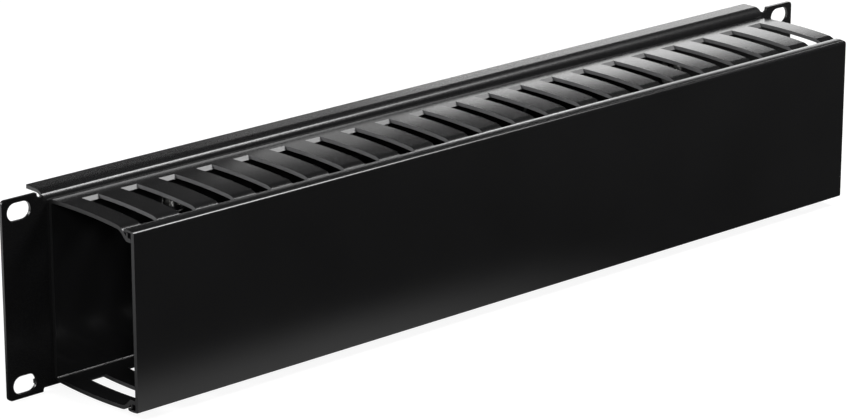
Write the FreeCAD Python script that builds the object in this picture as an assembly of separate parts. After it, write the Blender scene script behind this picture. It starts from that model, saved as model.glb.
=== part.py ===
import FreeCAD, Part
import os
from math import cos, radians, sin, tan
from FreeCAD import Placement, Rotation, Vector

# Horizontal cable manager for a 19 inch rack, two units high.
#
# A folded steel panel carries a slotted plastic finger duct on four screws, and a plastic cover
# snaps over the duct's finger tips. All sizes are in millimetres. X runs along the panel, -Y points
# out of the rack towards the user and +Z is up. The origin is the centre of the four rack slots on
# the panel's rear face, the face that seats on the rack posts.

# --- rack panel -----------------------------------------------------------------------------------
panel_width = 482.6         # over both ears
panel_height = 88.1         # two rack units less the usual gap
panel_sheet = 1.5
bend_radius = 5.0           # outside radius of the two long folds
flange_depth = 12.5         # front face to the free edge of a flange
flange_corner_radius = 1.0
ear_width = 18.1            # side edge to the relief notch
ear_corner_radius = 2.0
relief_width = 3.2          # ear to flange end
relief_depth = 2.4          # from the panel's edge to the bottom of the notch between them
relief_radius = 1.85        # round bottom of the notch
relief_corner_radius = 0.4
rack_slot_side_distance = 8.75
rack_slot_end_distance = 5.95
rack_slot_length = 12.0
rack_slot_width = 8.0
screw_hole_diameter = 5.5

# --- finger duct ----------------------------------------------------------------------------------
duct_end_inset = 2.8        # flange end to duct end
duct_side_inset = 3.65      # panel edge to the duct wall, at the base
duct_depth = 55.1           # back of the base to the finger tips
duct_wall = 1.7
base_corner_radius = 2.5
wall_rise_angle = 3.5       # the wall leaves the base leaning out by this
wall_fall_angle = 4.3       # and reaches the shoulder leaning in by this
shoulder_radius = 7.5
shoulder_angle = 43.0       # slope of the turned-in finger tip
tip_drop = 4.1              # shoulder to the outer face of the tip
tip_length = 2.4            # straight end of the tip
rib_thickness = 1.0         # snap rib along the outside of the tips
rib_chamfer = 0.4
finger_pitch = 20.32
finger_slot_width = 8.6
finger_slot_start = 9.7     # back of the base to the closed end of a slot
end_finger_min = 8.0
base_hole_length = 12.7
base_hole_width = 6.4
base_holes_per_row = 4
base_hole_end_distance = 64.8   # duct end to the last hole of each row, where the screws go
base_row_inset = 14.4       # duct wall to a row of holes, at the base

# --- cover ----------------------------------------------------------------------------------------
cover_front_thickness = 1.9
cover_lip_thickness = 1.05
cover_step = 0.5            # the lips lie this far inside the shoulders
cover_tip_clearance = 0.2   # finger tips to the inside of the front
cover_rib_clearance = 0.25  # snap ribs to the lips
cover_barb_clearance = 0.3  # snap ribs to the barbs behind them
cover_edge_radius = 0.8
barb_length = 1.5
barb_catch = 0.45           # how far a barb reaches behind its rib

# --- fasteners ------------------------------------------------------------------------------------
screw_diameter = 5.0
screw_length = 12.0
head_diameter = 9.5
head_height = 3.7
recess_width = 1.2
recess_span = 5.0
recess_depth = 2.2
washer_diameter = 15.0
washer_bore = 5.3
washer_thickness = 1.2
lock_washer_diameter = 8.7
lock_washer_bore = 5.1
lock_washer_thickness = 1.2
lock_washer_gap = 0.8
nut_across_flats = 8.0
nut_thickness = 4.0
thread_clearance = 0.03     # screw to nut, on the radius; both threads are drawn plain

# --- places that follow from the sizes ------------------------------------------------------------
panel_front = -panel_sheet
flange_length = panel_width - 2 * (ear_width + relief_width)
duct_length = flange_length - 2 * duct_end_inset
duct_half_height = panel_height / 2 - duct_side_inset
slot_count = int((duct_length - 2 * end_finger_min - finger_slot_width) // finger_pitch) + 1
screw_x = duct_length / 2 - base_hole_end_distance
base_hole_x = [screw_x * (2 * step / (base_holes_per_row - 1) - 1)
               for step in range(base_holes_per_row)]
screw_z = duct_half_height - base_row_inset
overrun = 1.0               # cutting tools pass the faces by this


# --- helpers --------------------------------------------------------------------------------------
def section(depth, height):
    """A point of the long section: depth is forward of the panel's front face, height is Z."""
    return Vector(0, panel_front - depth, height)


def trace(start, heading, moves, inset):
    """Edges of a line that runs beside a path of straight runs and arcs, inset to its right.

    Each move is ("run", length), ("turn", radius, degrees) or ("corner", degrees), with positive
    degrees to the left. Beside a right turn the arc is tighter by the inset, and beside a left
    turn it is wider, and the runs beside a corner meet in a mitre, so the line stays parallel to
    the path. Gives the edges and the line's last point.
    """
    angle = radians(heading)
    depth = start[0] + inset * sin(angle)
    height = start[1] - inset * cos(angle)
    edges = []
    for step, move in enumerate(moves):
        if move[0] == "corner":
            angle += radians(move[1])
            continue
        if move[0] == "run":
            length = move[1] + inset * (mitre(moves, step - 1) + mitre(moves, step + 1))
            next_depth = depth + length * cos(angle)
            next_height = height + length * sin(angle)
            edge = Part.LineSegment(section(depth, height), section(next_depth, next_height))
        else:
            side = 1 if move[2] > 0 else -1
            radius = move[1] + side * inset
            turn = radians(move[2])
            centre_depth = depth - side * radius * sin(angle)
            centre_height = height + side * radius * cos(angle)
            on_arc = []
            for part in (angle + turn / 2, angle + turn):
                on_arc.append((centre_depth + side * radius * sin(part),
                               centre_height - side * radius * cos(part)))
            edge = Part.Arc(section(depth, height), section(*on_arc[0]), section(*on_arc[1]))
            angle += turn
            next_depth, next_height = on_arc[1]
        edges.append(edge.toShape())
        depth, height = next_depth, next_height
    return edges, (depth, height)


def mitre(moves, step):
    """What a run gains on the outside of the corner at this step, for each unit of thickness."""
    if 0 <= step < len(moves) and moves[step][0] == "corner":
        return tan(radians(moves[step][1]) / 2)
    return 0.0


def folded_section(start, heading, moves, thickness):
    """Face between a path and its parallel line, closed by its own mirror image below Z = 0."""
    outer, outer_end = trace(start, heading, moves, 0)
    inner, inner_end = trace(start, heading, moves, thickness)
    cap = Part.LineSegment(section(*outer_end), section(*inner_end)).toShape()
    upper = outer + [cap] + inner
    lower = [edge.mirror(Vector(0, 0, 0), Vector(0, 0, 1)) for edge in upper]
    return Part.Face(Part.Wire(Part.__sortEdges__(upper + lower)))


def polygon(points):
    """Face of the long section with straight sides."""
    corners = [section(*point) for point in points]
    return Part.Face(Part.makePolygon(corners + corners[:1]))


def along_panel(face, length):
    """A section face drawn out along X, centred on the panel."""
    face.translate(Vector(-length / 2, 0, 0))
    return face.extrude(Vector(length, 0, 0))


def block(low, high):
    """Box between two corners."""
    low, high = Vector(*low), Vector(*high)
    size = high - low
    return Part.makeBox(size.x, size.y, size.z, low)


def oval_cutter(x, z, length, width, y_low, y_high):
    """Slotted hole along Y, its long way along X."""
    radius = width / 2
    reach = length / 2 - radius
    tool = block((x - reach, y_low, z - radius), (x + reach, y_high, z + radius))
    for end in (x - reach, x + reach):
        tool = tool.fuse(Part.makeCylinder(radius, y_high - y_low, Vector(end, y_low, z),
                                           Vector(0, 1, 0)))
    return tool.removeSplitter()


def turned(profile):
    """Solid of revolution about its own Y axis from (radius, y) points."""
    corners = [Vector(radius, y, 0) for radius, y in profile]
    face = Part.Face(Part.makePolygon(corners + corners[:1]))
    return face.revolve(Vector(0, 0, 0), Vector(0, 1, 0), 360)


def screw_places():
    """Name ending and place of each of the four fixings."""
    rows = {"upper": screw_z, "lower": -screw_z}
    sides = {"left": -screw_x, "right": screw_x}
    return [(f"{row}_{side}", x, z) for row, z in rows.items() for side, x in sides.items()]


# --- rack panel -----------------------------------------------------------------------------------
def rack_panel():
    """One folded sheet: flat ears, and a long fold back along the top and the bottom edge."""
    half_height = panel_height / 2
    fold_start = half_height - bend_radius
    ears = block((-panel_width / 2, panel_front, -half_height), (panel_width / 2, 0, half_height))
    ears = ears.makeFillet(ear_corner_radius, across_edges(ears, panel_width / 2))
    for low, high in ((fold_start, half_height + overrun), (-half_height - overrun, -fold_start)):
        ears = ears.cut(block((-flange_length / 2, panel_front - overrun, low),
                              (flange_length / 2, overrun, high)))
    for cutter in relief_cutters():
        ears = ears.cut(cutter)
    relief_side = flange_length / 2 + relief_width
    ears = ears.makeFillet(relief_corner_radius,
                           [edge for edge in across_edges(ears, relief_side)
                            if abs(edge.CenterOfMass.z) > half_height - 0.01])
    moves = [("run", fold_start), ("turn", bend_radius, 90),
             ("run", flange_depth - bend_radius)]
    channel = along_panel(folded_section((0, 0), 90, moves, -panel_sheet), flange_length)
    channel = channel.makeFillet(flange_corner_radius, flange_corner_edges(channel))
    panel = ears.fuse(channel).removeSplitter()
    for cutter in rack_slot_cutters() + screw_hole_cutters():
        panel = panel.cut(cutter)
    return panel


def across_edges(plate, side):
    """The edges that run through the flat plate at this distance from its middle."""
    return [edge for edge in plate.Edges
            if abs(edge.tangentAt(edge.FirstParameter).y) > 0.9
            and abs(abs(edge.CenterOfMass.x) - side) < 0.01]


def relief_cutters():
    """The four round-bottomed notches between the ears and the flanges."""
    x = flange_length / 2 + relief_width - relief_radius
    z = panel_height / 2 - relief_depth + relief_radius
    tools = []
    for side in (-1, 1):
        for end in (-1, 1):
            tool = Part.makeCylinder(relief_radius, panel_sheet + 2 * overrun,
                                     Vector(side * x, panel_front - overrun, end * z),
                                     Vector(0, 1, 0))
            low, high = sorted((end * z, end * (panel_height / 2 + overrun)))
            tools.append(tool.fuse(block((side * x - relief_radius, panel_front - overrun, low),
                                         (side * x + relief_radius, overrun, high))))
    return tools


def flange_corner_edges(channel):
    """The short upright edges at the free corners of both flanges."""
    rear = panel_front + flange_depth
    return [edge for edge in channel.Edges
            if abs(edge.CenterOfMass.y - rear) < 0.01 and edge.Length < panel_sheet * 1.01]


def rack_slot_cutters():
    """The four oval slots for the rack screws."""
    x = panel_width / 2 - rack_slot_side_distance
    z = panel_height / 2 - rack_slot_end_distance
    return [oval_cutter(side * x, end * z, rack_slot_length, rack_slot_width,
                        panel_front - overrun, overrun)
            for side in (-1, 1) for end in (-1, 1)]


def screw_hole_cutters():
    """The round holes behind the duct's fixing holes."""
    return [Part.makeCylinder(screw_hole_diameter / 2, panel_sheet + 2 * overrun,
                              Vector(x, panel_front - overrun, z), Vector(0, 1, 0))
            for _, x, z in screw_places()]


# --- finger duct ----------------------------------------------------------------------------------
def finger_moves():
    """Outer line of half the duct, from the middle of the base to a finger tip.

    The base corner, the gently bowed wall, the shoulder and the sloping tip follow each other in
    tangent, and a corner turns the tip forward again. The bow's radius is the one that ends the
    line at the duct's depth.
    """
    rise, fall = radians(wall_rise_angle), radians(wall_fall_angle)
    slope = radians(shoulder_angle)
    corner_height = base_corner_radius * cos(rise)
    shoulder_drop = shoulder_radius * (cos(fall) - cos(slope))
    slope_run = (tip_drop - shoulder_drop) / sin(slope)
    corner_depth = base_corner_radius * (1 - sin(rise))
    tip_depth = (shoulder_radius * (sin(slope) - sin(fall)) + slope_run * cos(slope)
                 + tip_length)
    bow_radius = (duct_depth - corner_depth - tip_depth) / (sin(rise) + sin(fall))
    return [("run", duct_half_height - corner_height),
            ("turn", base_corner_radius, wall_rise_angle - 90),
            ("turn", bow_radius, -wall_rise_angle - wall_fall_angle),
            ("turn", shoulder_radius, wall_fall_angle - shoulder_angle),
            ("run", slope_run),
            ("corner", shoulder_angle),
            ("run", tip_length)]


def shoulder_height():
    """Height of the wall's outer line where the shoulder starts."""
    return trace((0, 0), 90, finger_moves()[:3], 0)[1][1]


def tip_start():
    """Point of the outer line where the straight end of the tip starts."""
    return trace((0, 0), 90, finger_moves()[:6], 0)[1]


def rib_section():
    """Snap rib on the upper tips, with its leading corner chamfered."""
    start, tip_height = tip_start()
    rear = start - rib_thickness / 2
    front = start + rib_thickness / 2
    root = tip_height - duct_wall / 2
    top = rib_top()
    return polygon([(rear, root), (rear, top), (front - rib_chamfer, top),
                    (front, top - rib_chamfer), (front, root)])


def rib_top():
    """Height of the snap ribs, just short of the cover's lips."""
    return shoulder_height() - cover_step - cover_lip_thickness - cover_rib_clearance


def finger_slot_cutter(x):
    """One slot through both walls, open at the tips."""
    return block((x - finger_slot_width / 2, panel_front - duct_depth - overrun, -panel_height / 2),
                 (x + finger_slot_width / 2, panel_front - finger_slot_start, panel_height / 2))


def finger_duct():
    """One plastic extrusion with sawn slots and two rows of oval holes through its base."""
    duct = along_panel(folded_section((0, 0), 90, finger_moves(), duct_wall), duct_length)
    rib = along_panel(rib_section(), duct_length)
    duct = duct.fuse([rib, rib.mirror(Vector(0, 0, 0), Vector(0, 0, 1))]).removeSplitter()
    first = -finger_pitch * (slot_count - 1) / 2
    slots = [finger_slot_cutter(first + step * finger_pitch) for step in range(slot_count)]
    holes = [oval_cutter(x, z, base_hole_length, base_hole_width,
                         panel_front - duct_wall - overrun, panel_front + overrun)
             for x in base_hole_x for z in (-screw_z, screw_z)]
    return duct.cut(slots).cut(holes)


# --- cover ----------------------------------------------------------------------------------------
def duct_cover():
    """One plastic extrusion: flat front, two thin lips, and a barb along the end of each lip."""
    outside = shoulder_height() - cover_step
    underside = outside - cover_lip_thickness
    inside = duct_depth + cover_tip_clearance
    front = inside + cover_front_thickness
    barb_front = tip_start()[0] - rib_thickness / 2 - cover_barb_clearance
    lip_end = barb_front - barb_length
    barb_edge = rib_top() - barb_catch
    upper = [(lip_end, outside), (lip_end, underside), (barb_front, barb_edge),
             (barb_front, underside), (inside, underside)]
    lower = [(depth, -height) for depth, height in reversed(upper)]
    cover = along_panel(polygon([(front, outside)] + upper + lower + [(front, -outside)]),
                        duct_length)
    return cover.makeFillet(cover_edge_radius, front_edges(cover, front))


def front_edges(cover, front):
    """The two long outer edges of the cover's front."""
    return [edge for edge in cover.Edges
            if edge.Length > duct_length * 0.99
            and abs(edge.CenterOfMass.y - (panel_front - front)) < 0.01]


# --- fasteners ------------------------------------------------------------------------------------
def pan_head_screw():
    """Screw with its axis on Y, its head's seat at Y = 0 and its head towards -Y."""
    rim, core = head_diameter / 2, screw_diameter / 2
    screw = turned([(0, -head_height), (rim, -head_height), (rim, 0), (core, 0),
                    (core, screw_length), (0, screw_length)])
    half_span, half_width = recess_span / 2, recess_width / 2
    bottom = recess_depth - head_height
    for reach_x, reach_z in ((half_span, half_width), (half_width, half_span)):
        screw = screw.cut(block((-reach_x, -head_height - overrun, -reach_z),
                                (reach_x, bottom, reach_z)))
    return screw


def flat_washer():
    """Wide washer behind the screw head, from Y = 0 to its thickness."""
    return turned([(washer_bore / 2, 0), (washer_diameter / 2, 0),
                   (washer_diameter / 2, washer_thickness), (washer_bore / 2, washer_thickness)])


def lock_washer():
    """Split spring washer, drawn pressed flat, with its gap at the top."""
    ring = turned([(lock_washer_bore / 2, 0), (lock_washer_diameter / 2, 0),
                   (lock_washer_diameter / 2, lock_washer_thickness),
                   (lock_washer_bore / 2, lock_washer_thickness)])
    gap = lock_washer_gap / 2
    return ring.cut(block((-gap, -overrun, 0),
                          (gap, lock_washer_thickness + overrun, lock_washer_diameter)))


def hex_nut():
    """Nut from Y = 0 to its thickness."""
    corner_radius = nut_across_flats / 2 / cos(radians(30))
    corners = [Vector(corner_radius * cos(radians(60 * step)), 0,
                      corner_radius * sin(radians(60 * step))) for step in range(6)]
    prism = Part.Face(Part.makePolygon(corners + corners[:1])).extrude(Vector(0, nut_thickness, 0))
    bore = Part.makeCylinder(screw_diameter / 2 + thread_clearance, nut_thickness + 2 * overrun,
                             Vector(0, -overrun, 0), Vector(0, 1, 0))
    return prism.cut(bore)


def fastener_sets():
    """Screw, washer, lock washer and nut at each of the four fixings."""
    washer_back = panel_front - duct_wall
    seat = washer_back - washer_thickness
    stack = {"screw": (pan_head_screw(), seat), "washer": (flat_washer(), seat),
             "lock_washer": (lock_washer(), 0), "nut": (hex_nut(), lock_washer_thickness)}
    pieces = {}
    for ending, x, z in screw_places():
        for name, (shape, y) in stack.items():
            piece = shape.copy()
            piece.Placement = Placement(Vector(x, y, z), Rotation())
            pieces[f"{name}_{ending}"] = piece
    return pieces


# --- output ---------------------------------------------------------------------------------------
def main():
    """Writes one STEP file for each piece."""
    nodes = {"rack_panel": rack_panel(), "finger_duct": finger_duct(), "duct_cover": duct_cover()}
    nodes.update(fastener_sets())
    os.makedirs("parts", exist_ok=True)
    for name, shape in nodes.items():
        solids = shape.Solids
        assert len(solids) == 1 and solids[0].isValid(), name
        solids[0].exportStep(f"parts/{name}.step")
        print(name, round(solids[0].Volume, 1), "mm3")


main()
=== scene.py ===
from math import atan2, cos, pi, radians, sin, tan

import bpy
import numpy as np
from bpy.props import FloatProperty, FloatVectorProperty, IntProperty, PointerProperty
from mathutils import Matrix, Vector


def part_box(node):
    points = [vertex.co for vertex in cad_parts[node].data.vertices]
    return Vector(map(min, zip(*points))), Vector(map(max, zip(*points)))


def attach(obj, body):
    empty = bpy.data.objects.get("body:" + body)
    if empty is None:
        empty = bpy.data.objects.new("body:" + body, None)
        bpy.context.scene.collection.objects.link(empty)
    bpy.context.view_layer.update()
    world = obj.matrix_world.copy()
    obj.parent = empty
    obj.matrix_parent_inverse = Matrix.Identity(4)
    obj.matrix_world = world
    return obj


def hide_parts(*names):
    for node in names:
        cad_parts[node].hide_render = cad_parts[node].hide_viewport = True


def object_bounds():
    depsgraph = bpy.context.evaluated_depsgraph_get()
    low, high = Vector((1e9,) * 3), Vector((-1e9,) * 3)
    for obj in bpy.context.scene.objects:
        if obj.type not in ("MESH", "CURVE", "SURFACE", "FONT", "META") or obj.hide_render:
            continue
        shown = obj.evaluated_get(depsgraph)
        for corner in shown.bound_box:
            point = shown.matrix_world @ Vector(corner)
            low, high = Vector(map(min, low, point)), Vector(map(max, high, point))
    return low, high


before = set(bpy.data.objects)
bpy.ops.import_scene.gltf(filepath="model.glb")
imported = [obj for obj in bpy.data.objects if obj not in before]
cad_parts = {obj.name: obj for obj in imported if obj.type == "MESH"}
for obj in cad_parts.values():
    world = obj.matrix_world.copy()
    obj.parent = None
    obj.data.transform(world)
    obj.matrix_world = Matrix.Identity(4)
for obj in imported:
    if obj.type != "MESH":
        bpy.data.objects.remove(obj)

bl_info = {
    "name": "Horizontal cable manager",
    "version": (1, 0, 0),
    "blender": (4, 5, 0),
    "location": "View3D > Sidebar > Cable manager",
    "description": "Dresses a two unit rack cable manager: folded panel, finger duct, cover and fixings",
    "category": "Add Mesh",
}

# Lengths are in metres. X runs along the panel, -Y points out of the rack and +Z is up. Places and
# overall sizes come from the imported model; the properties hold what those boxes can't tell.

CAD_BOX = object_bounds()
CORNERS = ("upper_left", "upper_right", "lower_left", "lower_right")
ROUNDED_ANGLE = radians(35)     # edges sharper than this are rounded
SHARP_ANGLE = radians(50)       # edges that are still sharper than this are shaded sharp
FAR = 1.0                       # a place that is past every piece
MARGIN = 0.001                  # cutting tools pass the faces by this


def length(name, description, default):
    """Property for a length in metres."""
    return FloatProperty(name=name, description=description, default=default, min=0.0,
                         precision=5, unit="LENGTH")


def angle(name, description, degrees):
    """Property for an angle, given in degrees and kept in radians."""
    return FloatProperty(name=name, description=description, default=radians(degrees),
                         precision=4, subtype="ANGLE")


def tone(name, description, default):
    """Property for a linear colour."""
    return FloatVectorProperty(name=name, description=description, default=default, size=3,
                               min=0.0, max=1.0, subtype="COLOR")


def factor(name, description, default):
    """Property for a share from zero to one."""
    return FloatProperty(name=name, description=description, default=default, min=0.0, max=1.0,
                         subtype="FACTOR")


class PanelSizes(bpy.types.PropertyGroup):
    """Sizes of the folded steel panel."""
    sheet: length("Sheet", "Thickness of the folded sheet", 0.0015)
    bend_radius: length("Bend radius", "Outside radius of the two long folds", 0.005)
    flange_corner: length("Flange corner", "Radius of the flanges' free corners", 0.001)
    ear_width: length("Ear width", "Side edge to the relief notch", 0.0181)
    ear_corner: length("Ear corner", "Radius of the ears' corners", 0.002)
    relief_width: length("Relief width", "Ear to flange end", 0.0032)
    relief_depth: length("Relief depth", "Panel's edge to the bottom of the notch", 0.0024)
    relief_radius: length("Relief radius", "Round bottom of the notch", 0.00185)
    relief_corner: length("Relief corner", "Radius of the ear's corner at the notch", 0.0004)
    slot_side_distance: length("Slot side distance", "Side edge to a rack slot's middle", 0.00875)
    slot_end_distance: length("Slot end distance", "End edge to a rack slot's middle", 0.00595)
    slot_length: length("Slot length", "Length of an oval rack slot", 0.012)
    slot_width: length("Slot width", "Width of an oval rack slot", 0.008)
    screw_hole: length("Screw hole", "Diameter of a fixing hole", 0.0055)
    edge_round: length("Edge round", "Softening that the powder coat gives an edge", 0.00028)
    colour: tone("Colour", "Colour of the powder coat", (0.0075, 0.0075, 0.0078))
    roughness: factor("Roughness", "Roughness of the powder coat", 0.24)


class DuctSizes(bpy.types.PropertyGroup):
    """Sizes of the slotted finger duct."""
    wall: length("Wall", "Thickness of the base and the fingers", 0.0017)
    side_inset: length("Side inset", "Panel edge to the duct wall, at the base", 0.00365)
    base_corner: length("Base corner", "Outside radius where the walls leave the base", 0.0025)
    rise: angle("Rise", "Lean of the walls where they leave the base", 3.5)
    fall: angle("Fall", "Lean of the walls where they reach the shoulder", 4.3)
    shoulder_radius: length("Shoulder radius", "Outside radius of the finger's shoulder", 0.0075)
    shoulder: angle("Shoulder", "Slope of the turned-in finger tip", 43.0)
    tip_drop: length("Tip drop", "Shoulder to the outer face of the tip", 0.0041)
    tip_length: length("Tip length", "Straight end of the tip", 0.0024)
    rib: length("Rib", "Thickness of the snap rib along the tips", 0.001)
    rib_rise: length("Rib rise", "How far the snap rib stands off the tip", 0.0023)
    rib_chamfer: length("Rib chamfer", "Leading corner of the snap rib", 0.0004)
    finger_pitch: length("Finger pitch", "Distance from slot to slot", 0.02032)
    slot_width: length("Slot width", "Gap between two fingers", 0.0086)
    slot_start: length("Slot start", "Back of the base to the closed end of a slot", 0.0097)
    slot_end_slope: length("Slot end slope", "How far a slot's closed end leans forward", 0.0017)
    end_finger_min: length("End finger", "Least width of the last finger", 0.008)
    hole_length: length("Hole length", "Length of an oval hole in the base", 0.0127)
    hole_width: length("Hole width", "Width of an oval hole in the base", 0.0064)
    holes_per_row: IntProperty(name="Holes per row", description="Oval holes in a row of the base",
                               default=4, min=2, max=20)
    edge_round: length("Edge round", "Softening of the sawn and moulded edges", 0.0002)
    colour: tone("Colour", "Colour of the duct's plastic", (0.0085, 0.0085, 0.0088))
    cut_colour: tone("Cut colour", "Colour of the sawn faces", (0.09, 0.09, 0.092))
    roughness: factor("Roughness", "Roughness of the extruded faces", 0.17)


class CoverSizes(bpy.types.PropertyGroup):
    """Sizes of the cover that presses over the finger tips."""
    front: length("Front", "Thickness of the flat front", 0.0019)
    lip: length("Lip", "Thickness of the two lips", 0.00105)
    barb_length: length("Barb length", "Length of the barb at a lip's end", 0.0015)
    barb_rise: length("Barb rise", "How far a barb stands off the lip", 0.0007)
    edge_radius: length("Edge radius", "Outside radius of the front's long edges", 0.0012)
    lip_radius: length("Lip radius", "Radius of the lips' rear edges", 0.0005)
    crown_radius: length("Crown radius", "Gentle rounding of a lip's outer face", 0.015)
    crown_distance: length("Crown distance", "Lip's end to the top of its rounding", 0.0022)
    fine_radius: length("Fine radius", "Radius of the barbs' edges and the inner corners", 0.0003)
    edge_round: length("Edge round", "Softening of the other edges", 0.00018)
    colour: tone("Colour", "Colour of the cover's plastic", (0.006, 0.006, 0.0063))
    cut_colour: tone("Cut colour", "Colour of the sawn ends", (0.012, 0.012, 0.0126))
    roughness: factor("Roughness", "Roughness of the cover", 0.2)


class FixingSizes(bpy.types.PropertyGroup):
    """Sizes of the screws, washers and nuts."""
    shank_diameter: length("Shank", "Outside diameter of the screw thread", 0.005)
    thread_pitch: length("Thread pitch", "Pitch of the screw thread", 0.0008)
    thread_depth: length("Thread depth", "Depth of the screw thread", 0.00045)
    head_rim: length("Head rim", "Upright part of the screw head's side", 0.0011)
    recess_span: length("Recess span", "Cross recess from end to end", 0.005)
    recess_width: length("Recess width", "Width of a wing of the cross recess", 0.0012)
    recess_depth: length("Recess depth", "Depth of the cross recess", 0.0022)
    washer_bore: length("Washer bore", "Bore of the flat washer", 0.0053)
    lock_bore: length("Lock washer bore", "Bore of the lock washer", 0.0051)
    lock_gap: length("Lock washer gap", "Split of the lock washer", 0.0008)
    nut_bore: length("Nut bore", "Bore of the nut", 0.00506)
    countersink: length("Countersink", "Opening of the nut's bore", 0.0004)
    nut_chamfer: angle("Nut chamfer", "Slope of the nut's turned corners", 30.0)
    edge_round: length("Edge round", "Softening of the washers' edges", 0.0002)
    sides: IntProperty(name="Sides", description="Facets around a turned piece", default=64,
                       min=12, max=256)
    colour: tone("Colour", "Colour of the zinc plate", (0.70, 0.70, 0.68))
    roughness: factor("Roughness", "Roughness of the zinc plate", 0.14)


class StageSizes(bpy.types.PropertyGroup):
    """Camera, lights and floor."""
    azimuth: angle("Azimuth", "Camera's turn about the upright, from straight in front", -42.342)
    elevation: angle("Elevation", "Camera's height above the level", 18.021)
    roll: angle("Roll", "Camera's turn about its own axis", -0.023)
    distance: length("Distance", "Camera to its aim", 1.585)
    aim: FloatVectorProperty(name="Aim", description="Point that the camera looks at", size=3,
                             default=(-0.03072, -0.028, 0.00072), subtype="TRANSLATION",
                             unit="LENGTH", precision=5)
    lens: FloatProperty(name="Lens", description="Focal length in millimetres", default=150.64,
                        min=10.0, subtype="DISTANCE_CAMERA")
    floor_radius: length("Floor radius", "Reach of the round floor", 12.0)
    floor_colour: tone("Floor colour", "Colour of the floor, where it is seen", (0.2, 0.2, 0.2))
    floor_glow: factor("Floor glow", "Brightness that the floor has before it is lit", 0.9)
    # painted shade: the floor is dark where it lights the object and in most reflections
    shaded_floor_bounce: tone("Floor bounce", "Colour of the floor, where it lights the object",
                       (0.06, 0.06, 0.06))
    studio: factor("Studio", "Brightness of the surroundings between the lamps", 0.03)


def middle_of(node):
    """Middle of a node's box."""
    return sum(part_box(node), Vector()) / 2


# --- outlines -------------------------------------------------------------------------------------
def walk(start, heading, moves, inset):
    """Points (depth, height) beside a path of runs, arcs and corners, inset to its right.

    A move is ("run", length, steps), ("turn", radius, angle, steps) or ("corner", angle), with
    positive angles to the left. A point of a turn is its centre plus the radius along the angle
    that is swept so far; the radius is shorter by the inset beside a right turn and longer beside
    a left one, and runs beside a corner gain the inset times the tangent of half its angle.
    """
    turned = heading
    point = np.array(start) + inset * np.array((sin(turned), -cos(turned)))
    line = [point[None]]
    for step, move in enumerate(moves):
        if move[0] == "corner":
            turned += move[1]
            continue
        if move[0] == "run":
            reach = move[1] + inset * (mitre(moves, step - 1) + mitre(moves, step + 1))
            along = np.linspace(0, reach, move[2] + 1)[1:, None]
            points = point + along * np.array((cos(turned), sin(turned)))
        else:
            side = np.sign(move[2])
            radius = move[1] + side * inset
            centre = point + side * radius * np.array((-sin(turned), cos(turned)))
            sweep = turned + np.linspace(0, move[2], move[3] + 1)[1:]
            points = centre + side * radius * np.column_stack((np.sin(sweep), -np.cos(sweep)))
            turned += move[2]
        line.append(points)
        point = points[-1]
    return np.concatenate(line)


def mitre(moves, step):
    """What a run gains beside the corner at this step, for each unit of inset."""
    if 0 <= step < len(moves) and moves[step][0] == "corner":
        return tan(moves[step][1] / 2)
    return 0.0


def mirrored(half):
    """Whole line from half of it: the half with its heights turned over, reversed, and the half."""
    return np.concatenate((half[:0:-1] * (1, -1), half))


def rounded(corners, radii, steps):
    """Closed outline with arcs at its corners.

    Each corner's arc touches both sides at radius / tan(half the inner angle) from the corner,
    and its points are the centre plus the radius along evenly swept angles.
    """
    corners = np.array(corners, float)
    outline = []
    for here, before, after, radius in zip(corners, np.roll(corners, 1, 0),
                                           np.roll(corners, -1, 0), radii):
        if radius == 0:
            outline.append(here[None])
            continue
        back = (before - here) / np.linalg.norm(before - here)
        onward = (after - here) / np.linalg.norm(after - here)
        half = np.arccos(back @ onward) / 2
        bisector = (back + onward) / np.linalg.norm(back + onward)
        centre = here + bisector * radius / sin(half)
        first = here + back * radius / tan(half) - centre
        last = here + onward * radius / tan(half) - centre
        start = atan2(first[1], first[0])
        swept = (atan2(last[1], last[0]) - start + pi) % (2 * pi) - pi
        angles = start + np.linspace(0, swept, steps + 1)
        outline.append(centre + radius * np.column_stack((np.cos(angles), np.sin(angles))))
    return np.concatenate(outline)


def oval(x, z, length_over_all, width, steps=16):
    """Outline (x, z) of a slotted hole: two half circles, half a width in radius."""
    radius, reach = width / 2, (length_over_all - width) / 2
    half = np.linspace(-pi / 2, pi / 2, steps + 1)
    right = np.column_stack((reach + radius * np.cos(half), radius * np.sin(half)))
    return np.concatenate((right, -right)) + (x, z)


def round_angles(count):
    """Angles all round, evenly spaced."""
    return np.arange(count) * 2 * pi / count


def circle(x, z, diameter, steps=40):
    """Outline (x, z) of a round hole."""
    angles = round_angles(steps)
    return diameter / 2 * np.column_stack((np.cos(angles), np.sin(angles))) + (x, z)


# --- meshes ---------------------------------------------------------------------------------------
def new_piece(name, points, faces):
    """Mesh object at the origin from an array of points and lists of corner numbers."""
    mesh = bpy.data.meshes.new(name)
    mesh.from_pydata(points.tolist(), [], faces)
    mesh.validate()
    mesh.polygons.foreach_set("use_smooth", np.ones(len(mesh.polygons), bool))
    piece = bpy.data.objects.new(name, mesh)
    bpy.context.scene.collection.objects.link(piece)
    return piece


def quads(a, b, c, d):
    """Faces from four arrays of corner numbers."""
    return np.stack((a.ravel(), b.ravel(), c.ravel(), d.ravel()), 1)


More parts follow.
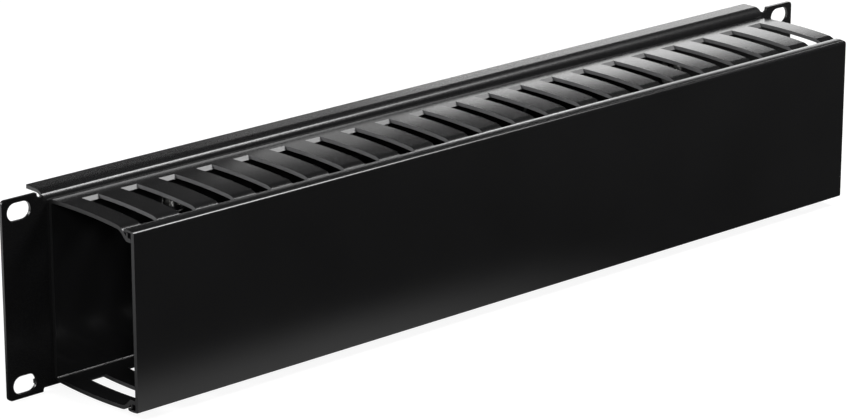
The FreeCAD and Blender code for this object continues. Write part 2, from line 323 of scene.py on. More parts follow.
def thick_sheet(outer, inner, solid):
    """Closed shell of a sheet given by two grids of points, with cells left out.

    The grids have shape (stations, columns, 3), and solid tells for each cell between them
    whether it is there. Every solid cell gives a face on both grids, and every cell edge with no
    solid cell on its other side gives a face between the grids.
    """
    stations, columns = outer.shape[:2]
    count = stations * columns
    index = np.arange(count).reshape(stations, columns)
    low, high = index[:-1], index[1:]
    a, b, c, d = low[:, :-1][solid], high[:, :-1][solid], high[:, 1:][solid], low[:, 1:][solid]
    faces = [quads(a, b, c, d), quads(d + count, c + count, b + count, a + count)]
    padded = np.pad(solid, 1)
    first = solid & ~padded[:-2, 1:-1]
    last = solid & ~padded[2:, 1:-1]
    left = solid & ~padded[1:-1, :-2]
    right = solid & ~padded[1:-1, 2:]
    for border, start, end in ((first, low[:, 1:], low[:, :-1]), (last, high[:, :-1], high[:, 1:]),
                               (left, low[:, :-1], high[:, :-1]),
                               (right, high[:, 1:], low[:, 1:])):
        s, e = start[border], end[border]
        faces.append(quads(e, s, s + count, e + count))
    faces = np.concatenate(faces)
    points = np.concatenate((outer.reshape(-1, 3), inner.reshape(-1, 3)))
    used, numbers = np.unique(faces, return_inverse=True)
    return points[used], numbers.reshape(faces.shape).tolist()


def long_section(line, columns, front):
    """Grid of points from a line (depth, height): each is carried to every X of the columns."""
    grid = np.empty((len(line), len(columns), 3))
    grid[..., 0] = columns
    grid[..., 1] = front - line[:, 0, None]
    grid[..., 2] = line[:, 1, None]
    return grid


def prism(outline, low, high):
    """Points and faces of an (x, z) outline carried along Y from low to high."""
    count = len(outline)
    points = np.empty((2 * count, 3))
    points[:, [0, 2]] = np.concatenate((outline, outline))
    points[:count, 1], points[count:, 1] = low, high
    here = np.arange(count)
    after = np.roll(here, -1)
    sides = quads(after, here, here + count, after + count).tolist()
    return points, sides + [here.tolist(), (here[::-1] + count).tolist()]


def turned_surface(radii, heights):
    """Points of a surface turned about Y, with shape (stations, sides, 3).

    A point is (radius cos a, height, radius sin a) at evenly spaced angles a. There is one
    height for each station, and one radius for each station and angle.
    """
    angles = round_angles(radii.shape[1])
    return np.stack(np.broadcast_arrays(radii * np.cos(angles), heights[:, None],
                                        radii * np.sin(angles)), -1)


def wrapped(grid, closed):
    """Points and faces of a turned surface: closed along its profile, or capped at both ends."""
    stations, sides = grid.shape[:2]
    index = np.arange(stations * sides).reshape(stations, sides)
    after = np.roll(index, -1, 0) if closed else index[1:]
    here = index if closed else index[:-1]
    faces = quads(here, after, np.roll(after, -1, 1), np.roll(here, -1, 1)).tolist()
    if not closed:
        faces += [index[0].tolist(), index[-1, ::-1].tolist()]
    return grid.reshape(-1, 3), faces


def joined(parts):
    """One list of points and one of faces from several (points, faces)."""
    points, faces, base = [], [], 0
    for part_points, part_faces in parts:
        points.append(part_points)
        faces += [[corner + base for corner in face] for face in part_faces]
        base += len(part_points)
    return np.concatenate(points), faces


def outward(piece):
    """Turns the faces round if the volume that they enclose comes out negative.

    The volume is a sixth of the sum of a . (b x c) over all triangles.
    """
    mesh = piece.data
    mesh.calc_loop_triangles()
    corners = np.empty(len(mesh.loop_triangles) * 3, np.int32)
    mesh.loop_triangles.foreach_get("vertices", corners)
    points = np.empty(len(mesh.vertices) * 3)
    mesh.vertices.foreach_get("co", points)
    a, b, c = points.reshape(-1, 3)[corners].reshape(-1, 3, 3).transpose(1, 0, 2)
    if np.einsum("ij,ij->", a, np.cross(b, c)) < 0:
        mesh.flip_normals()


def solid_piece(name, points, faces):
    """Mesh object with its faces turned outwards."""
    piece = new_piece(name, points, faces)
    outward(piece)
    return piece


def combine(piece, operation, tools):
    """Adds the tools, a list of (points, faces), to the piece or takes them out of it."""
    tool = solid_piece(piece.name + "_tool", *joined(tools))
    boolean = piece.modifiers.new("Combine", "BOOLEAN")
    boolean.operation = operation
    boolean.solver = "EXACT"
    boolean.object = tool
    apply_modifiers(piece)
    bpy.data.objects.remove(tool)


def apply_modifiers(piece):
    """Gives the piece the mesh that its modifiers make."""
    graph = bpy.context.evaluated_depsgraph_get()
    mesh = bpy.data.meshes.new_from_object(piece.evaluated_get(graph), depsgraph=graph)
    piece.modifiers.clear()
    old, piece.data = piece.data, mesh
    bpy.data.meshes.remove(old)
    mesh.name = piece.name


def soften(piece, width, segments=2):
    """Rounds the sharp edges, and keeps the flat faces flat in their shading."""
    bevel = piece.modifiers.new("Edges", "BEVEL")
    bevel.width = width
    bevel.segments = segments
    bevel.limit_method = "ANGLE"
    bevel.angle_limit = ROUNDED_ANGLE
    apply_modifiers(piece)
    piece.data.set_sharp_from_angle(angle=SHARP_ANGLE)
    weighted = piece.modifiers.new("Shading", "WEIGHTED_NORMAL")
    weighted.keep_sharp = True


def dress(piece, material, node, body):
    """Gives a finished piece its material and its body, and hides the imported node that it stands for.
    """
    piece.data.materials.clear()
    piece.data.materials.append(material)
    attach(piece, body)
    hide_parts(node)


# --- materials ------------------------------------------------------------------------------------
# Noise scales are in features per metre, along all axes or one after the other. Bump heights are in
# metres.
COAT_PEEL, COAT_GRAIN, COAT_DRIFT = 700.0, 5200.0, 14.0
DIE_LINES, SAW_MARKS = (6.0, 1500.0, 1500.0), (900.0, 260.0, 2600.0)
PLASTIC_GRAIN, PLASTIC_DRIFT = 4200.0, 22.0
ZINC_CLOUD, ZINC_SCUFFS = 450.0, (900.0, 900.0, 5200.0)
GRAIN_HEIGHT, PEEL_HEIGHT, LINE_HEIGHT, SCUFF_HEIGHT = 0.00001, 0.00004, 0.00002, 0.000012
CUT_ROUGHNESS = 0.55
END_SHADE_TONE = 0.15            # painted shade: tone of the duct's two end faces beside its other sawn faces
END_BAND = (0.001, 0.0005)      # where the painted shade on the end faces starts and is full, from the end
SLOT_END_BAND = (0.001, 0.0012)     # where a slot's closed end starts to fade and is gone


def new_material(name):
    """Material with its node tree and its Principled shader."""
    material = bpy.data.materials.new(name)
    material.use_nodes = True
    tree = material.node_tree
    return material, tree, tree.nodes["Principled BSDF"]


def add_node(tree, kind, values=(), **settings):
    """Node with its settings and a dictionary of socket values or links."""
    node = tree.nodes.new(kind)
    for name, value in settings.items():
        setattr(node, name, value)
    for socket, value in dict(values).items():
        if isinstance(value, bpy.types.NodeSocket):
            tree.links.new(value, node.inputs[socket])
        else:
            node.inputs[socket].default_value = value
    return node


def object_points(tree, scale=(1.0, 1.0, 1.0)):
    """Object coordinates, stretched by the scale."""
    place = add_node(tree, "ShaderNodeTexCoord")
    return add_node(tree, "ShaderNodeMapping",
                    {"Vector": place.outputs["Object"], "Scale": scale}).outputs["Vector"]


def noise(tree, points, scale, detail=2.0, roughness=0.5):
    """Noise value at the points, with its features one over the scale in size."""
    return add_node(tree, "ShaderNodeTexNoise",
                    {"Vector": points, "Scale": scale, "Detail": detail,
                     "Roughness": roughness}).outputs["Fac"]


def blend_colours(tree, share, first, second):
    """Colour between two, by a share."""
    mix = add_node(tree, "ShaderNodeMix", {0: share}, data_type="RGBA")
    for socket, colour in ((6, first), (7, second)):
        if isinstance(colour, bpy.types.NodeSocket):
            tree.links.new(colour, mix.inputs[socket])
        else:
            mix.inputs[socket].default_value = (*colour, 1.0)
    return mix.outputs[2]


def ramp(tree, value, start, end, low, high, kind="SMOOTHSTEP"):
    """Value mapped from the range start to end to the range low to high."""
    return add_node(tree, "ShaderNodeMapRange",
                    {"Value": value, "From Min": start, "From Max": end, "To Min": low,
                     "To Max": high}, interpolation_type=kind).outputs["Result"]


def spread(tree, value, low, high):
    """Value from the middle part of noise, mapped to the range from low to high."""
    return ramp(tree, value, 0.3, 0.7, low, high, "LINEAR")


def blend(tree, share, first, second):
    """Value between two, by a share."""
    return add_node(tree, "ShaderNodeMix", {0: share, 2: first, 3: second},
                    data_type="FLOAT").outputs[0]


def calculate(tree, operation, *values):
    """Result of a Math node."""
    return add_node(tree, "ShaderNodeMath", dict(enumerate(values)),
                    operation=operation).outputs[0]


def separate(tree, vector):
    """The X, Y and Z of a vector."""
    return add_node(tree, "ShaderNodeSeparateXYZ", {"Vector": vector}).outputs


def seen_share(tree, share):
    """Share of the pale background: all of it for the camera, the given share in gloss."""
    path = add_node(tree, "ShaderNodeLightPath").outputs
    shown = calculate(tree, "MAXIMUM", path["Is Glossy Ray"], path["Is Transmission Ray"])
    return calculate(tree, "MAXIMUM", path["Is Camera Ray"],
                     calculate(tree, "MULTIPLY", shown, share))


def scaled(colour, share):
    """Colour times a share, as three numbers."""
    return [channel * share for channel in colour]


def mottled(tree, value, colour, low, high):
    """Colour times low to high, by a noise value."""
    return blend_colours(tree, spread(tree, value, 0.0, 1.0), scaled(colour, low),
                         scaled(colour, high))


def bump(tree, heights, distance, strength, normal=None):
    """Normal from a height value."""
    values = {"Height": heights, "Distance": distance, "Strength": strength}
    if normal is not None:
        values["Normal"] = normal
    return add_node(tree, "ShaderNodeBump", values).outputs["Normal"]


def powder_coat(name, sizes):
    """Satin powder coat: a soft orange peel with a fine grain on it, and a faint drift of tone."""
    material, tree, shader = new_material(name)
    points = object_points(tree)
    peel = noise(tree, points, COAT_PEEL)
    grain = noise(tree, points, COAT_GRAIN, 3.0, 0.6)
    drift = noise(tree, points, COAT_DRIFT, 3.0)
    gloss = spread(tree, grain, sizes.roughness - 0.05, sizes.roughness + 0.06)
    normal = bump(tree, grain, GRAIN_HEIGHT, 0.35, bump(tree, peel, PEEL_HEIGHT, 0.25))
    tree.links.new(mottled(tree, drift, sizes.colour, 0.85, 1.2), shader.inputs["Base Color"])
    tree.links.new(gloss, shader.inputs["Roughness"])
    tree.links.new(normal, shader.inputs["Normal"])
    shader.inputs["IOR"].default_value = 1.5
    return material


def extruded_plastic(name, sizes, half_length=FAR, slot_end=FAR):
    """Satin plastic: die lines along X, a fine grain, and rough saw marks on the cut faces.

    The cut faces look along X, apart from the slots' closed ends, which lie around the depth
    slot_end. The sawn faces at the two ends of the piece are darkened, a painted shade.
    """
    material, tree, shader = new_material(name)
    lines = noise(tree, object_points(tree, DIE_LINES), 1.0, 3.0, 0.6)
    grain = noise(tree, object_points(tree), PLASTIC_GRAIN)
    saw = noise(tree, object_points(tree, SAW_MARKS), 1.0, 3.0, 0.65)
    drift = noise(tree, object_points(tree), PLASTIC_DRIFT, 3.0)
    normal = separate(tree, add_node(tree, "ShaderNodeNewGeometry").outputs["Normal"])
    place = separate(tree, object_points(tree))
    sideways = ramp(tree, calculate(tree, "ABSOLUTE", normal["X"]), 0.55, 0.95, 0.0, 1.0)
    off_end = calculate(tree, "ABSOLUTE", calculate(tree, "SUBTRACT", place["Y"], slot_end))
    closed_end = calculate(tree, "MULTIPLY", ramp(tree, normal["Y"], -0.6, -0.5, 0.6, 0.0),
                           ramp(tree, off_end, *SLOT_END_BAND, 1.0, 0.0))
    is_cut = calculate(tree, "MAXIMUM", sideways, closed_end)
    # painted shade: the sawn faces at the piece's two ends are darkened
    painted_end_shade = ramp(tree, calculate(tree, "ABSOLUTE", place["X"]), half_length - END_BAND[0],
                    half_length - END_BAND[1], 0.0, 1.0)
    face = mottled(tree, drift, sizes.colour, 0.85, 1.2)
    sawn = mottled(tree, saw, sizes.cut_colour, 0.7, 1.3)
    sawn = blend_colours(tree, painted_end_shade, sawn, scaled(sizes.cut_colour, END_SHADE_TONE))
    smooth = spread(tree, grain, sizes.roughness - 0.04, sizes.roughness + 0.05)
    relief = bump(tree, grain, GRAIN_HEIGHT, 0.25,
                  bump(tree, blend(tree, is_cut, lines, saw), LINE_HEIGHT, 0.4))
    tree.links.new(blend_colours(tree, is_cut, face, sawn), shader.inputs["Base Color"])
    tree.links.new(blend(tree, is_cut, smooth, CUT_ROUGHNESS), shader.inputs["Roughness"])
    tree.links.new(relief, shader.inputs["Normal"])
    shader.inputs["IOR"].default_value = 1.5
    return material


def zinc_plate(name, sizes):
    """Bright zinc: metal with a slightly uneven tone and fine scuffs."""
    material, tree, shader = new_material(name)
    cloud = noise(tree, object_points(tree), ZINC_CLOUD, 4.0, 0.6)
    scuff = noise(tree, object_points(tree, ZINC_SCUFFS), 1.0, 3.0)
    gloss = spread(tree, cloud, sizes.roughness - 0.06, sizes.roughness + 0.1)
    tree.links.new(mottled(tree, cloud, sizes.colour, 0.8, 1.1), shader.inputs["Base Color"])
    tree.links.new(gloss, shader.inputs["Roughness"])
    tree.links.new(bump(tree, scuff, SCUFF_HEIGHT, 0.4), shader.inputs["Normal"])
    shader.inputs["Metallic"].default_value = 1.0
    return material


def own_material(make, name, *values):
    """The material of that name, made the first time that it is asked for."""
    return bpy.data.materials.get(name) or make(name, *values)


# --- operators ------------------------------------------------------------------------------------
class CABLEMANAGER_OT_rack_panel(bpy.types.Operator):
    """Add the folded steel panel with its slotted ears"""
    bl_idname = "cablemanager.rack_panel"
    bl_label = "Rack panel"

    def execute(self, context):
        sizes = context.scene.cable_manager_panel
        low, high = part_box("rack_panel")
        ear_side = high.x - sizes.ear_width
        flange_end = ear_side - sizes.relief_width
        piece = solid_piece("rack_panel_sheet", *self.channel(sizes, flange_end, low, high))
        ear = self.ear_outline(sizes, ear_side, flange_end, high)
        combine(piece, "UNION", [prism((ear * (side, 1))[::side], low.y, low.y + sizes.sheet)
                                 for side in (-1, 1)])
        combine(piece, "DIFFERENCE", self.hole_tools(sizes, low, high))
        soften(piece, sizes.edge_round)
        coat = own_material(powder_coat, "powder_coat", sizes)
        dress(piece, coat, "rack_panel", "panel_and_duct")
        return {"FINISHED"}

    def channel(self, sizes, flange_end, low, high):
        """Flat middle and both folds as one sheet between the flanges' ends.

        Near a flange's free edge its ends are drawn in by r - sqrt(r^2 - p^2), with r the corner
        radius and p the way past the corner's start.
        """
        bend, corner = sizes.bend_radius, sizes.flange_corner
        reach = high.y - low.y
        moves = [("run", high.z - bend, 1), ("turn", bend, pi / 2, 18),
                 ("run", reach - bend - corner, 1), ("run", corner, 6)]
        grids = []
        for inset in (0.0, -sizes.sheet):
            line = mirrored(walk((0, 0), pi / 2, moves, inset))
            grid = long_section(line, (-flange_end, flange_end), low.y)
            past = np.clip(grid[:, 0, 1] - (high.y - corner), 0, corner)
            drawn_in = corner - np.sqrt(corner ** 2 - past ** 2)
            grid[:, 0, 0] += drawn_in
            grid[:, 1, 0] -= drawn_in
            grids.append(grid)
        return thick_sheet(*grids, np.ones((len(grids[0]) - 1, 1), bool))

    def ear_outline(self, sizes, ear_side, flange_end, high):
        """Outline (x, z) of the right ear.

        Its two notches are arcs of the relief radius about a point beside the ear, swept from the
        ear to where the arc meets the plane of the flanges' ends.
        """
        radius = sizes.relief_radius
        centre = ear_side - radius, high.z - sizes.relief_depth + radius
        sweep = np.linspace(0, np.arccos((flange_end - centre[0]) / radius), 15)
        notch = np.column_stack((centre[0] + radius * np.cos(sweep),
                                 centre[1] - radius * np.sin(sweep)))
        corners = [(ear_side, -high.z), (high.x, -high.z), (high.x, high.z), (ear_side, high.z)]
        corners += notch.tolist() + (notch[::-1] * (1, -1)).tolist()
        radii = [sizes.relief_corner, sizes.ear_corner, sizes.ear_corner, sizes.relief_corner]
        return rounded(corners, radii + [0] * (2 * len(notch)), 8)

    def hole_tools(self, sizes, low, high):
        """Tools for the four rack slots and for the holes behind the screws."""
        slot_x, slot_z = high.x - sizes.slot_side_distance, high.z - sizes.slot_end_distance
        outlines = [oval(side * slot_x, end * slot_z, sizes.slot_length, sizes.slot_width)
                    for side in (-1, 1) for end in (-1, 1)]
        for name in CORNERS:
            middle = middle_of("screw_" + name)
            outlines.append(circle(middle.x, middle.z, sizes.screw_hole))
        return [prism(outline, low.y - sizes.sheet, low.y + 2 * sizes.sheet)
                for outline in outlines]


class CABLEMANAGER_OT_finger_duct(bpy.types.Operator):
    """Add the slotted duct with its turned-in finger tips"""
    bl_idname = "cablemanager.finger_duct"
    bl_label = "Finger duct"
    corner_steps, bow_steps = 6, 14
    rib_shares = np.array((0.12, 0.25, 0.32, 0.40))[:, None]

    def execute(self, context):
        sizes = context.scene.cable_manager_duct
        low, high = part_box("finger_duct")
        outer, inner, finger_stations = self.lines(sizes, high.y - low.y)
        half = high.x
        slots = self.slot_places(sizes, 2 * half)
        edges = np.concatenate((slots - sizes.slot_width / 2, slots + sizes.slot_width / 2))
        columns = np.sort(np.concatenate(((-half, half), edges)))
        solid = np.ones((len(outer) - 1, len(columns) - 1), bool)
        solid[:finger_stations, 1::2] = False
        solid[-finger_stations:, 1::2] = False
        piece = solid_piece("finger_duct_comb", *thick_sheet(
            long_section(outer, columns, high.y), long_section(inner, columns, high.y), solid))
        screw = middle_of("screw_upper_right")
        outlines = [oval(x, z, sizes.hole_length, sizes.hole_width)
                    for x in np.linspace(-screw.x, screw.x, sizes.holes_per_row)
                    for z in (-screw.z, screw.z)]
        combine(piece, "DIFFERENCE", [prism(outline, high.y - 2 * sizes.wall, high.y + sizes.wall)
                                      for outline in outlines])
        soften(piece, sizes.edge_round)
        slot_end = high.y - sizes.slot_start - sizes.slot_end_slope / 2
        plastic = own_material(extruded_plastic, "extruded_duct", sizes, half, slot_end)
        dress(piece, plastic, "finger_duct", "panel_and_duct")
        return {"FINISHED"}

    def slot_places(self, sizes, duct_length):
        """Middle of each slot, as many as leave a whole finger at both ends."""
        room = duct_length - 2 * sizes.end_finger_min - sizes.slot_width
        rounding = 1e-6
        count = int(room / sizes.finger_pitch + rounding) + 1
        return sizes.finger_pitch * (np.arange(count) - (count - 1) / 2)

    def lines(self, sizes, depth):
        """Outer and inner line of the section, and how many cells of it a slot cuts.

        The bow's radius is what is left of the depth over the sines of its two leans.
        """
        panel_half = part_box("rack_panel")[1].z
        half_height = panel_half - sizes.side_inset
        rise, fall, slope = sizes.rise, sizes.fall, sizes.shoulder
        shoulder_drop = sizes.shoulder_radius * (cos(fall) - cos(slope))
        slope_run = (sizes.tip_drop - shoulder_drop) / sin(slope)
        corner_depth = sizes.base_corner * (1 - sin(rise))
        tip_depth = (sizes.shoulder_radius * (sin(slope) - sin(fall)) + slope_run * cos(slope)
                     + sizes.tip_length)
        bow = (depth - corner_depth - tip_depth) / (sin(rise) + sin(fall))
        moves = [("run", half_height - sizes.base_corner * cos(rise), 1),
                 ("turn", sizes.base_corner, rise - pi / 2, self.corner_steps),
                 ("turn", bow, -rise - fall, self.bow_steps),
                 ("turn", sizes.shoulder_radius, fall - slope, 10),
                 ("run", slope_run, 1),
                 ("corner", slope),
                 ("run", sizes.tip_length, 1)]
        outer = walk((0, 0), pi / 2, moves, 0.0)
        inner = walk((0, 0), pi / 2, moves, sizes.wall)
        closed = self.level_slot_end(outer, inner, sizes)
        outer, inner = self.raise_rib(outer, inner, sizes)
        finger_stations = len(outer) - 1 - closed
        return mirrored(outer), mirrored(inner), finger_stations

    def level_slot_end(self, outer, inner, sizes):
        """Moves the stations nearest the slots' closed end onto it, along both lines.

        The saw leaves the end leaning, so it lies further forward on the inner line. It cuts the
        bow, whose stations follow those of the base and its corner.
        """
        first = self.corner_steps + 2
        bow = slice(first - 1, first + self.bow_steps)
        inside_bow = outer[first:first + self.bow_steps - 2, 0]
        nearest = first + int(np.argmin(abs(inside_bow - sizes.slot_start)))
        for line, start in ((outer, sizes.slot_start),
                            (inner, sizes.slot_start + sizes.slot_end_slope)):
            line[nearest] = (start, np.interp(start, *line[bow].T))
        return nearest

    def raise_rib(self, outer, inner, sizes):
        """Adds the snap rib's corners to the outer line, each with a point on the inner line."""
        bend = outer[-2]
        rear, front = bend[0] - sizes.rib / 2, bend[0] + sizes.rib / 2
        slope = (bend - outer[-3]) / (bend[0] - outer[-3, 0])
        root = bend + slope * (rear - bend[0])
        top = bend[1] + sizes.rib_rise
        chamfer = sizes.rib_chamfer
        rib = np.array((root, (rear, top), (front - chamfer, top), (front, top - chamfer),
                        (front, bend[1])))
        below = inner[-2] + self.rib_shares * (inner[-1] - inner[-2])
        return (np.concatenate((outer[:-2], rib, outer[-1:])),
                np.concatenate((inner[:-1], below, inner[-1:])))


class CABLEMANAGER_OT_duct_cover(bpy.types.Operator):
    """Add the cover with its two barbed lips"""
    bl_idname = "cablemanager.duct_cover"
    bl_label = "Duct cover"

    def execute(self, context):
        sizes = context.scene.cable_manager_cover
        low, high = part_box("duct_cover")
        top, front, rear = high.z, low.y, high.y
        inside = front + sizes.front
        underside = top - sizes.lip
        barb_front, barb_edge = rear - sizes.barb_length, underside - sizes.barb_rise
        fine, edge = sizes.fine_radius, sizes.edge_radius
        lip = self.crown(sizes, front + edge, rear, top)
        upper = [((front, lip[0][0][1]), edge)] + lip + [
                 ((rear, lip[-1][0][1]), sizes.lip_radius), ((rear, underside), 0),
                 ((barb_front, barb_edge), fine), ((barb_front, underside), 0),
                 ((inside, underside), fine)]
        lower = [((y, -z), radius) for (y, z), radius in reversed(upper)]
        corners, radii = zip(*(upper + lower))
        points, faces = prism(rounded(corners, radii, 6), low.x, high.x)
        piece = solid_piece("duct_cover_shell", points[:, [1, 0, 2]], faces)
        soften(piece, sizes.edge_round)
        plastic = own_material(extruded_plastic, "extruded_cover", sizes)
        dress(piece, plastic, "duct_cover", "cover")
        return {"FINISHED"}

    def crown(self, sizes, start, rear, top):
        """Points of a lip's outer face: below the top by d^2 / 2r, d away from the crown's line."""
        points = 14
        along = np.linspace(start, rear, points)[1:-1]
        past = along - (rear - sizes.crown_distance)
        heights = top - past ** 2 / (2 * sizes.crown_radius)
        return [((y, z), 0) for y, z in zip(along, heights)]


class CABLEMANAGER_OT_fixings(bpy.types.Operator):
    """Add the screws, washers, lock washers and nuts"""
    bl_idname = "cablemanager.fixings"
    bl_label = "Fixings"
    head_flat = 0.42            # radius of the head's middle beside its rim
    recess_taper = 0.72         # floor of the cross recess beside its mouth
    steps_per_pitch = 12
    thread_start, thread_end = 0.0004, 0.0001   # plain shank under the head and at the point
    nut_sides = 96
    nut_face = 0.97             # round face of the nut beside its flats

    def execute(self, context):
        sizes = context.scene.cable_manager_fixings
        zinc = own_material(zinc_plate, "zinc_plate", sizes)
        for corner in CORNERS:
            for kind, make, edge in (("screw", self.screw, 0.00006),
                                     ("washer", self.washer, 0.00002),
                                     ("lock_washer", self.lock_washer, 0.00008),
                                     ("nut", self.nut, 0.00006)):
                node = f"{kind}_{corner}"
                piece = make(node, sizes)
                soften(piece, edge, 1)
                dress(piece, zinc, node, "panel_and_duct")
        return {"FINISHED"}

    def turned(self, node, grid, closed=True):
        """Piece from a turned surface, moved from its own axis to the node's."""
        points, faces = wrapped(grid, closed)
        middle = middle_of(node)
        return solid_piece(node + "_turned", points + np.array((middle.x, 0, middle.z)), faces)

    def screw(self, node, sizes):
        """Pan head, a threaded shank and a chamfered point.

        The head's side is an upright rim and a quarter of an ellipse. The thread takes from the
        radius its depth times how far the height, less a pitch for each turn of the angle, is
        from the nearest crest.
        """
        low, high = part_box(node)
        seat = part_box(node.replace("screw", "washer"))[0].y
        rim, core = (high.x - low.x) / 2, sizes.shank_diameter / 2
        swell = np.linspace(0, 1, 10) * pi / 2
        crown = seat - sizes.head_rim - (seat - sizes.head_rim - low.y) * np.cos(swell)
        head_radius = rim * (self.head_flat + (1 - self.head_flat) * np.sin(swell))
        steps = int((high.y - seat) / sizes.thread_pitch * self.steps_per_pitch)
        shank = np.linspace(seat + self.thread_start / 2, high.y, steps)
        heights = np.concatenate((crown, (seat, seat), shank))
        radii = np.concatenate((head_radius, (rim, core), np.full(steps, core)))
        radii[-1] = core - sizes.thread_depth
        turns = round_angles(sizes.sides) / (2 * pi)
        off_crest = 2 * np.abs((heights[:, None] / sizes.thread_pitch - turns) % 1.0 - 0.5)
        threaded = (heights > seat + self.thread_start) & (heights < high.y - self.thread_end)
        taken = threaded[:, None] * sizes.thread_depth * off_crest
        piece = self.turned(node, turned_surface(radii[:, None] - taken, heights), False)
        middle = middle_of(node)
        wide, narrow = sizes.recess_span / 2, sizes.recess_width / 2
        for reach_x, reach_z in ((wide, narrow), (narrow, wide)):
            outline = np.array(((-reach_x, -reach_z), (reach_x, -reach_z), (reach_x, reach_z),
                                (-reach_x, reach_z)))
            points, faces = prism(outline, low.y - MARGIN, low.y + sizes.recess_depth)
            points[np.ix_(points[:, 1] > low.y, (0, 2))] *= self.recess_taper
            points += np.array((middle.x, 0, middle.z))
            combine(piece, "DIFFERENCE", [(points, faces)])
        return piece

    def ring(self, node, bore, edge, sizes):
        """Flat ring with rounded edges: a closed profile turned about Y."""
        low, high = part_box(node)
        inner, outer = bore / 2, (high.x - low.x) / 2
        section = rounded([(inner, low.y), (outer, low.y), (outer, high.y), (inner, high.y)],
                          [edge] * 4, 4)
        radii = np.repeat(section[:, :1], sizes.sides, 1)
        return self.turned(node, turned_surface(radii, section[:, 1]))

    def washer(self, node, sizes):
        """Wide flat washer."""
        return self.ring(node, sizes.washer_bore, sizes.edge_round * 1.5, sizes)

    def lock_washer(self, node, sizes):
        """Split spring washer, with a slanting gap at the top."""
        piece = self.ring(node, sizes.lock_bore, sizes.edge_round, sizes)
        (low, high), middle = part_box(node), middle_of(node)
        gap, reach = sizes.lock_gap / 2, 0.006
        outline = np.array(((-gap, 0.0), (gap, 0.0), (gap * 1.8, reach), (-gap * 0.2, reach)))
        combine(piece, "DIFFERENCE", [prism(outline + (middle.x, middle.z), low.y - MARGIN,
                                            high.y + MARGIN)])
        return piece

    def nut(self, node, sizes):
        """Hexagon nut.

        Its radius at an angle is the hexagon's, or the cone's of both faces where that is less,
        and the bore opens into a small countersink.
        """
        low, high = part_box(node)
        flat = (high.z - low.z) / 2
        drop = (flat / cos(pi / 6) - flat) * tan(sizes.nut_chamfer)
        ease = np.linspace(0, drop, 6)
        hexagon = flat / np.cos((round_angles(self.nut_sides) + pi / 6) % (pi / 3) - pi / 6)
        inset = np.concatenate((ease, ease[::-1]))
        cone = flat * self.nut_face + inset / tan(sizes.nut_chamfer)
        outer = np.minimum(hexagon[None], cone[:, None])
        sink, bore = sizes.countersink, sizes.nut_bore / 2
        inner = np.array((bore + sink, bore, bore, bore + sink))
        radii = np.concatenate((outer, np.repeat(inner[:, None], self.nut_sides, 1)))
        heights = np.concatenate((low.y + ease, high.y - ease[::-1],
                                  (high.y, high.y - sink, low.y + sink, low.y)))
        return self.turned(node, turned_surface(radii, heights))


# Each bank of lamps: its middle, the directions of its width and height, and its lamps as left,
# right, low and high in that plane, with their radiance.
LAMPS = {
    "overhead": ((0.554, -0.330, 0.972), (0.970, 0.080, -0.230), (-0.007, 0.953, 0.303), (
        (-0.25, 0.15, -0.36, -0.12, 18.0), (-0.25, 0.15, -0.12, 0.36, 9.5),
        (0.15, 0.25, -0.28, 0.36, 6.0), (0.25, 0.35, -0.20, 0.36, 2.0))),
    "back": ((1.05, 0.72, 0.0), (-0.570, 0.822, 0.0), (0.0, 0.0, 1.0), (
        (-0.275, -0.125, 0.0, 0.34, 0.8),
        (-0.125, 0.175, 0.0, 0.34, 1.9), (-0.125, 0.175, 0.34, 0.44, 1.8),
        (0.175, 0.325, 0.0, 0.24, 4.7), (0.175, 0.325, 0.24, 0.34, 2.1),
        (0.175, 0.325, 0.34, 0.43, 0.96),
        (0.325, 0.475, 0.24, 0.54, 0.55), (0.475, 0.775, 0.0, 0.24, 1.4))),
    "left": ((-0.85, 0.50, 0.42), (-0.5, -0.86, 0.0), (0.36, -0.22, 0.91), (
        (-0.27, 0.27, -0.22, 0.22, 8.5),)),
    "front": ((-1.115, -1.416, 0.713), (0.788, -0.616, 0.0), (0.230, 0.295, 0.927), (
        (-0.20, 0.20, -0.20, 0.20, 18.0),)),
}


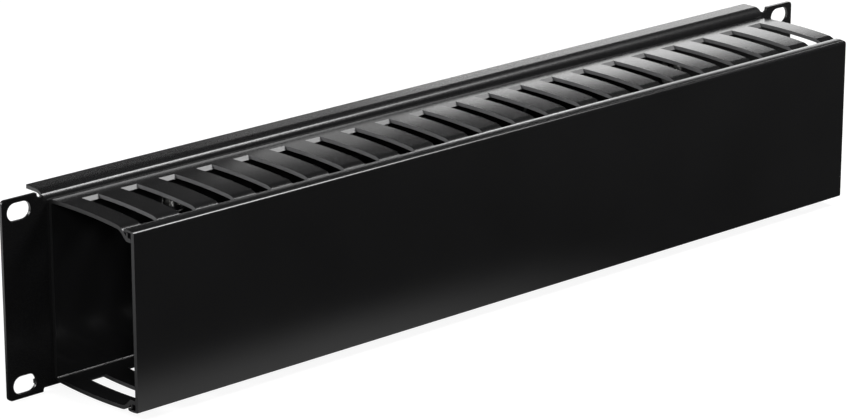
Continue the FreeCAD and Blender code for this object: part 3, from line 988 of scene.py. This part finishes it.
class CABLEMANAGER_OT_stage(bpy.types.Operator):
    """Add the floor, the lights and the camera"""
    bl_idname = "cablemanager.stage"
    bl_label = "Stage"

    def execute(self, context):
        sizes = context.scene.cable_manager_stage
        self.camera(context.scene, sizes)
        self.floor(sizes)
        self.world(context.scene, sizes)
        for name, (middle, across, upward, lamps) in LAMPS.items():
            for lamp in lamps:
                self.softbox(name, Vector(middle), Vector(across), Vector(upward), *lamp)
        context.scene.view_settings.view_transform = "Standard"
        return {"FINISHED"}

    def camera(self, scene, sizes):
        """Camera at its azimuth, elevation and distance from the aim."""
        azimuth, elevation = sizes.azimuth, sizes.elevation
        back = Vector((sin(azimuth) * cos(elevation), -cos(azimuth) * cos(elevation),
                       sin(elevation)))
        lens = bpy.data.cameras.new("camera")
        lens.lens = sizes.lens
        lens.sensor_width = 36.0
        lens.clip_end = 100.0
        camera = bpy.data.objects.new("camera", lens)
        turn = back.to_track_quat("Z", "Y").to_matrix().to_4x4()
        place = Matrix.Translation(Vector(sizes.aim) + back * sizes.distance)
        camera.matrix_world = place @ turn @ Matrix.Rotation(sizes.roll, 4, "Z")
        scene.collection.objects.link(camera)
        scene.camera = camera

    def softbox(self, name, middle, across, upward, left, right, low, high, radiance):
        """Rectangular lamp in a bank's plane; its power is radiance times area times four."""
        lamp = bpy.data.lights.new(name, "AREA")
        lamp.shape = "RECTANGLE"
        lamp.size, lamp.size_y = right - left, high - low
        lamp.energy = 4 * radiance * lamp.size * lamp.size_y
        light = bpy.data.objects.new(name, lamp)
        across.normalize()
        back = across.cross(upward).normalized()
        turn = Matrix((across, back.cross(across), back)).transposed().to_4x4()
        place = middle + across * (left + right) / 2 + back.cross(across) * (low + high) / 2
        light.matrix_world = Matrix.Translation(place) @ turn
        bpy.context.scene.collection.objects.link(light)

    def floor(self, sizes):
        """Round floor at the part's lowest point.

        Gloss shows it as the camera does behind the part and in a strip along the cover, which fades
        out to the right: a painted pool of light in reflections. Elsewhere gloss and the object's
        lighting see the dark bounce colour, a painted shade.
        """
        low = CAD_BOX[0]
        rim = circle(0, 0, 2 * sizes.floor_radius, 96)
        points = np.column_stack((rim[:, 0], rim[:, 1], np.full(len(rim), low[2])))
        floor = new_piece("floor", points, [list(range(len(rim)))])
        material, tree, shader = new_material("floor")
        tree.nodes.remove(shader)
        place = separate(tree, object_points(tree))
        # painted light and shade in reflections: gloss sees the pale floor behind the part and in a
        # front strip, bright at the left
        behind = ramp(tree, place["Y"], 0.02, 0.10, 0.0, 1.0)
        strip = calculate(tree, "MULTIPLY", ramp(tree, place["Y"], -0.12, -0.07, 0.0, 0.65),
                          ramp(tree, place["Y"], -0.062, -0.058, 1.0, 0.0))
        before = calculate(tree, "MULTIPLY", strip, ramp(tree, place["X"], 0.12, -0.10, 0.0, 1.0))
        share = calculate(tree, "MAXIMUM", behind, before)
        pale = add_node(tree, "ShaderNodeBsdfDiffuse", {"Color": (*sizes.floor_colour, 1.0)})
        glow = add_node(tree, "ShaderNodeEmission", {"Strength": sizes.floor_glow})
        lit = add_node(tree, "ShaderNodeAddShader", {0: pale.outputs[0], 1: glow.outputs[0]})
        # painted shade: a dark floor for the object's lighting and most reflections
        dark_floor_shade = add_node(tree, "ShaderNodeBsdfDiffuse", {"Color": (*sizes.shaded_floor_bounce, 1.0)})
        seen = add_node(tree, "ShaderNodeMixShader", {
            0: seen_share(tree, share), 1: dark_floor_shade.outputs[0], 2: lit.outputs[0]})
        tree.links.new(seen.outputs[0], tree.nodes["Material Output"].inputs["Surface"])
        floor.data.materials.append(material)

    def world(self, scene, sizes):
        """Pale surroundings for the camera, and in gloss near the horizon, and a dim studio."""
        world = bpy.data.worlds.new("studio")
        world.use_nodes = True
        tree = world.node_tree
        tree.nodes.clear()
        out = tree.nodes.new("ShaderNodeOutputWorld")
        sky = add_node(tree, "ShaderNodeTexCoord").outputs["Generated"]
        share = ramp(tree, separate(tree, sky)["Z"], 0.02, 0.05, 1.0, 0.0)
        white, dim = (add_node(tree, "ShaderNodeBackground",
                               {"Color": (1, 1, 1, 1), "Strength": strength})
                      for strength in (1.0, sizes.studio))
        seen = add_node(tree, "ShaderNodeMixShader", {
            0: seen_share(tree, share), 1: dim.outputs[0], 2: white.outputs[0]})
        tree.links.new(seen.outputs[0], out.inputs["Surface"])
        scene.world = world


class CABLEMANAGER_PT_sidebar(bpy.types.Panel):
    """Lists the pieces of the cable manager"""
    bl_label = "Cable manager"
    bl_idname = "CABLEMANAGER_PT_sidebar"
    bl_space_type = "VIEW_3D"
    bl_region_type = "UI"
    bl_category = "Cable manager"

    def draw(self, context):
        for group, kind, operator in PARTS:
            box = self.layout.box()
            box.operator(operator.bl_idname)
            for name in kind.__annotations__:
                box.prop(getattr(context.scene, group), name)


PARTS = (("cable_manager_panel", PanelSizes, CABLEMANAGER_OT_rack_panel),
         ("cable_manager_duct", DuctSizes, CABLEMANAGER_OT_finger_duct),
         ("cable_manager_cover", CoverSizes, CABLEMANAGER_OT_duct_cover),
         ("cable_manager_fixings", FixingSizes, CABLEMANAGER_OT_fixings),
         ("cable_manager_stage", StageSizes, CABLEMANAGER_OT_stage))
CLASSES = (*(kind for part in PARTS for kind in part[1:]), CABLEMANAGER_PT_sidebar)


def register():
    """Registers the classes and the scene's property groups."""
    for item in CLASSES:
        bpy.utils.register_class(item)
    for group, kind, _ in PARTS:
        setattr(bpy.types.Scene, group, PointerProperty(type=kind))


def unregister():
    """Takes back what register did."""
    for group, _, _ in PARTS:
        delattr(bpy.types.Scene, group)
    for item in reversed(CLASSES):
        bpy.utils.unregister_class(item)


def main():
    register()
    bpy.ops.cablemanager.rack_panel()
    bpy.ops.cablemanager.finger_duct()
    bpy.ops.cablemanager.duct_cover()
    bpy.ops.cablemanager.fixings()
    bpy.ops.cablemanager.stage()


if __name__ == "__main__":
    main()
